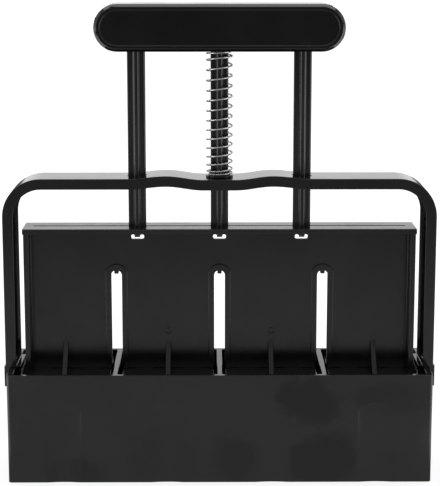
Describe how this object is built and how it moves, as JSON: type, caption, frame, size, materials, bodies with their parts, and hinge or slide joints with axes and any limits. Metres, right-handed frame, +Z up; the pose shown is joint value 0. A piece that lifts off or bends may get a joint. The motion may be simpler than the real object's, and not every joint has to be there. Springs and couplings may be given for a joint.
{
  "type": "soil blocker",
  "caption": "Hand soil blocker: mould box with square cells, finger frame over it, and a spring-returned plunger with push plates, rods and a pill-shaped grip.",
  "frame": {"origin": "middle of the mould box's footprint, on the surface it stands on", "axes": "+Z up along the plunger's travel, X along the row of cells, the front with the grip's panel faces -Y"},
  "size_m": [0.2202, 0.0552, 0.2403],
  "materials": {
    "box_plastic": "black, satin gloss",
    "frame_plastic": "black, satin gloss",
    "plunger_plastic": "black, satin gloss",
    "rod_plastic": "black, glossy",
    "grip_plastic": "black, satin gloss",
    "spring_steel": "bright drawn wire",
    "screw_steel": "zinc-plated"
  },
  "bodies": {
    "mould": {"mould_box": "box_plastic", "finger_frame": "frame_plastic", "spring_seat": "frame_plastic", "return_spring": "spring_steel"},
    "plunger": {"plunger_frame": "plunger_plastic", "push_plate_1": "plunger_plastic", "push_plate_2": "plunger_plastic", "push_plate_3": "plunger_plastic", "push_plate_4": "plunger_plastic", "seed_pin_1": "plunger_plastic", "seed_pin_2": "plunger_plastic", "seed_pin_3": "plunger_plastic", "seed_pin_4": "plunger_plastic", "rod_left": "rod_plastic", "rod_centre": "rod_plastic", "rod_right": "rod_plastic", "grip_front_shell": "grip_plastic", "grip_back_shell": "grip_plastic", "grip_screw_left": "screw_steel", "grip_screw_centre": "screw_steel", "grip_screw_right": "screw_steel"}
  },
  "joints": [
    {"name": "plunger_slide", "type": "slide", "parent": "mould", "child": "plunger", "axis": [0, 0, -1], "range_m": [0, 0.0465], "stiffness_N_per_m": 250, "springref_m": -0.025, "deforming": ["return_spring"]}
  ]
}
